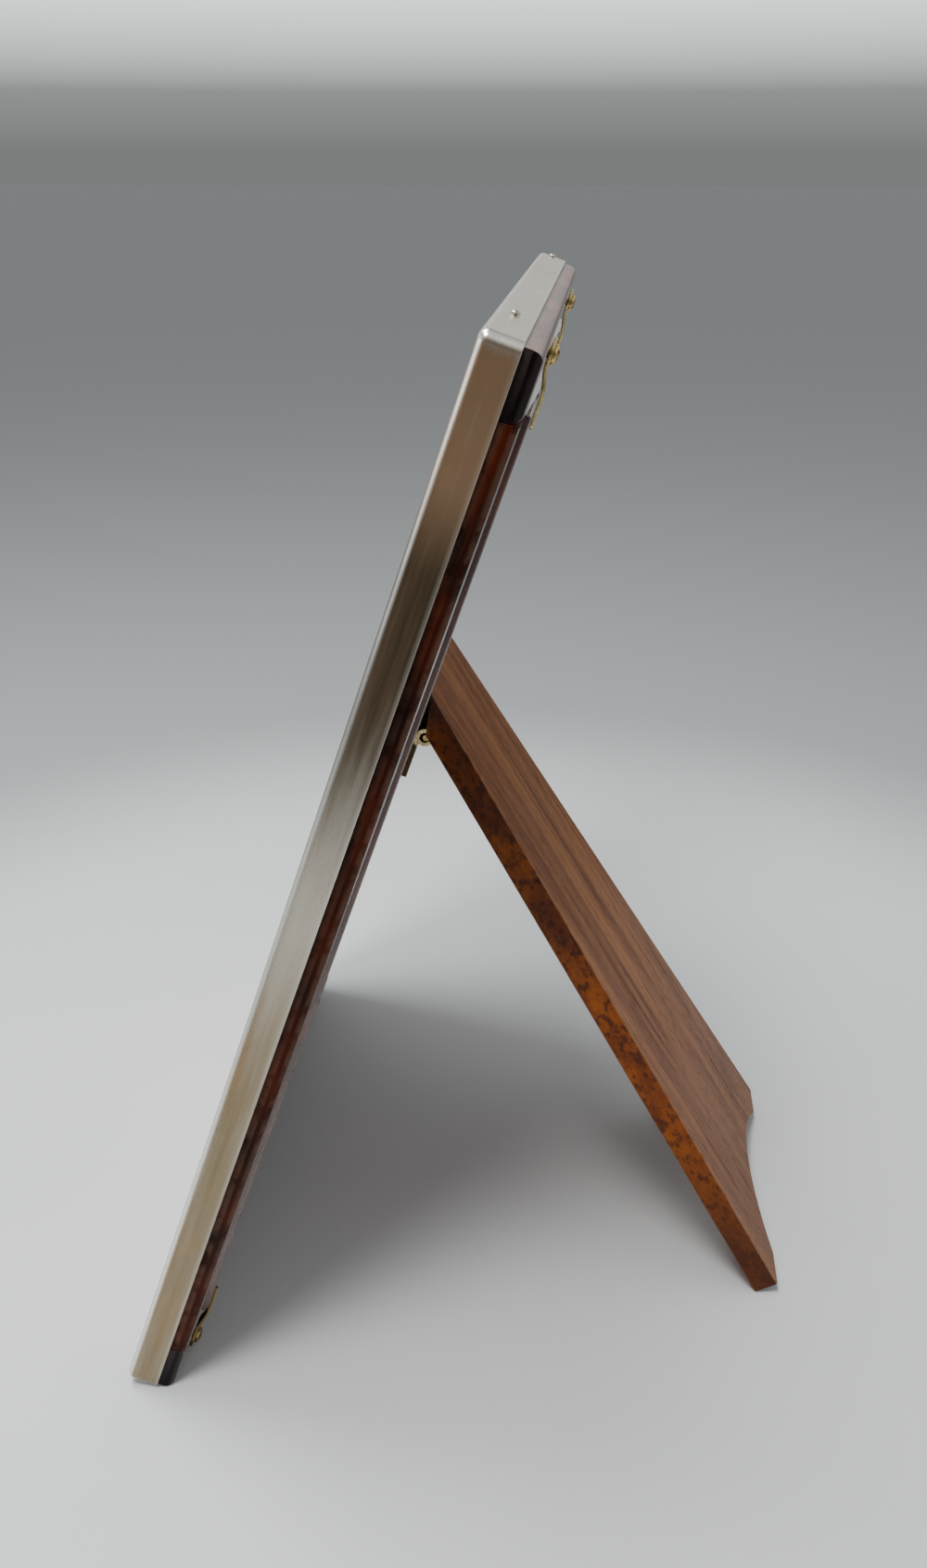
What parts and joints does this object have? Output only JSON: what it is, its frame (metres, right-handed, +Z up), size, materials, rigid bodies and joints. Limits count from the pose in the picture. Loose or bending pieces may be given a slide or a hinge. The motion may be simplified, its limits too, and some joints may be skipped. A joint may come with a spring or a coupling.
{
  "type": "easel picture frame",
  "caption": "Desk picture frame with a metal-covered wooden frame, a back board held by turn buttons and a hinged wooden leg that props it up.",
  "frame": {"origin": "on the table, under the middle of the open frame's box", "axes": "+Z up, the picture faces -Y, the leg stands out towards +Y, +X across the frame"},
  "size_m": [0.2, 0.1854, 0.2857],
  "materials": {
    "silver": "satin hand-polished silver with light tarnish and scuffs",
    "frame_wood": "dark red-brown polished hardwood with rounded, rubbed edges",
    "board_wood": "dark brown french-polished board with straight grain",
    "leg_wood": "pinkish-brown straight grain, satin, with mottled orange-brown edges",
    "brass": "bright rubbed brass",
    "aged_brass": "brown patinated brass, bright on the ends of the knuckles",
    "glass": "clear picture glass",
    "mount_card": "matt ivory card",
    "backing_card": "matt grey-brown strawboard",
    "photo_paper": "blank toned photographic paper, semi-matt"
  },
  "bodies": {
    "frame": {"silver_cover": "silver", "top_rail": "frame_wood", "bottom_rail": "frame_wood", "left_stile": "frame_wood", "right_stile": "frame_wood", "window_glass": "glass", "mount_card": "mount_card", "photo_print": "photo_paper", "backing_card": "backing_card", "back_board": "board_wood", "hinge_fixed_leaf": "aged_brass", "hinge_pin": "brass", "cover_pin_top_left": "silver", "cover_pin_top_right": "silver", "cover_pin_bottom_left": "silver", "cover_pin_bottom_right": "silver", "button_screw_top_left": "brass", "button_screw_top_right": "brass", "button_screw_bottom_left": "brass", "button_screw_bottom_right": "brass", "board_hinge_screw_left": "brass", "board_hinge_screw_middle": "brass", "board_hinge_screw_right": "brass"},
    "leg": {"easel_leg": "leg_wood", "hinge_moving_leaf": "aged_brass", "leg_hinge_screw_left": "brass", "leg_hinge_screw_middle": "brass", "leg_hinge_screw_right": "brass"},
    "button_top_left": {"turn_button_top_left": "brass"},
    "button_top_right": {"turn_button_top_right": "brass"},
    "button_bottom_left": {"turn_button_bottom_left": "brass"},
    "button_bottom_right": {"turn_button_bottom_right": "brass"}
  },
  "joints": [
    {"name": "leg_hinge", "type": "hinge", "parent": "frame", "child": "leg", "pos_m": [0, -0.01688, 0.16901], "axis": [-1, 0, 0], "range_deg": [0, 50]},
    {"name": "button_turn_top_left", "type": "hinge", "parent": "frame", "child": "button_top_left", "pos_m": [-0.054, 0.01569, 0.27563], "axis": [0, 0.9444, -0.3289], "continuous": true},
    {"name": "button_turn_top_right", "type": "hinge", "parent": "frame", "child": "button_top_right", "pos_m": [0.054, 0.01569, 0.27563], "axis": [0, 0.9444, -0.3289], "continuous": true},
    {"name": "button_turn_bottom_left", "type": "hinge", "parent": "frame", "child": "button_bottom_left", "pos_m": [-0.084, -0.07853, 0.00507], "axis": [0, 0.9444, -0.3289], "range_deg": [-90, 90]},
    {"name": "button_turn_bottom_right", "type": "hinge", "parent": "frame", "child": "button_bottom_right", "pos_m": [0.084, -0.07853, 0.00507], "axis": [0, 0.9444, -0.3289], "range_deg": [-90, 90]}
  ]
}
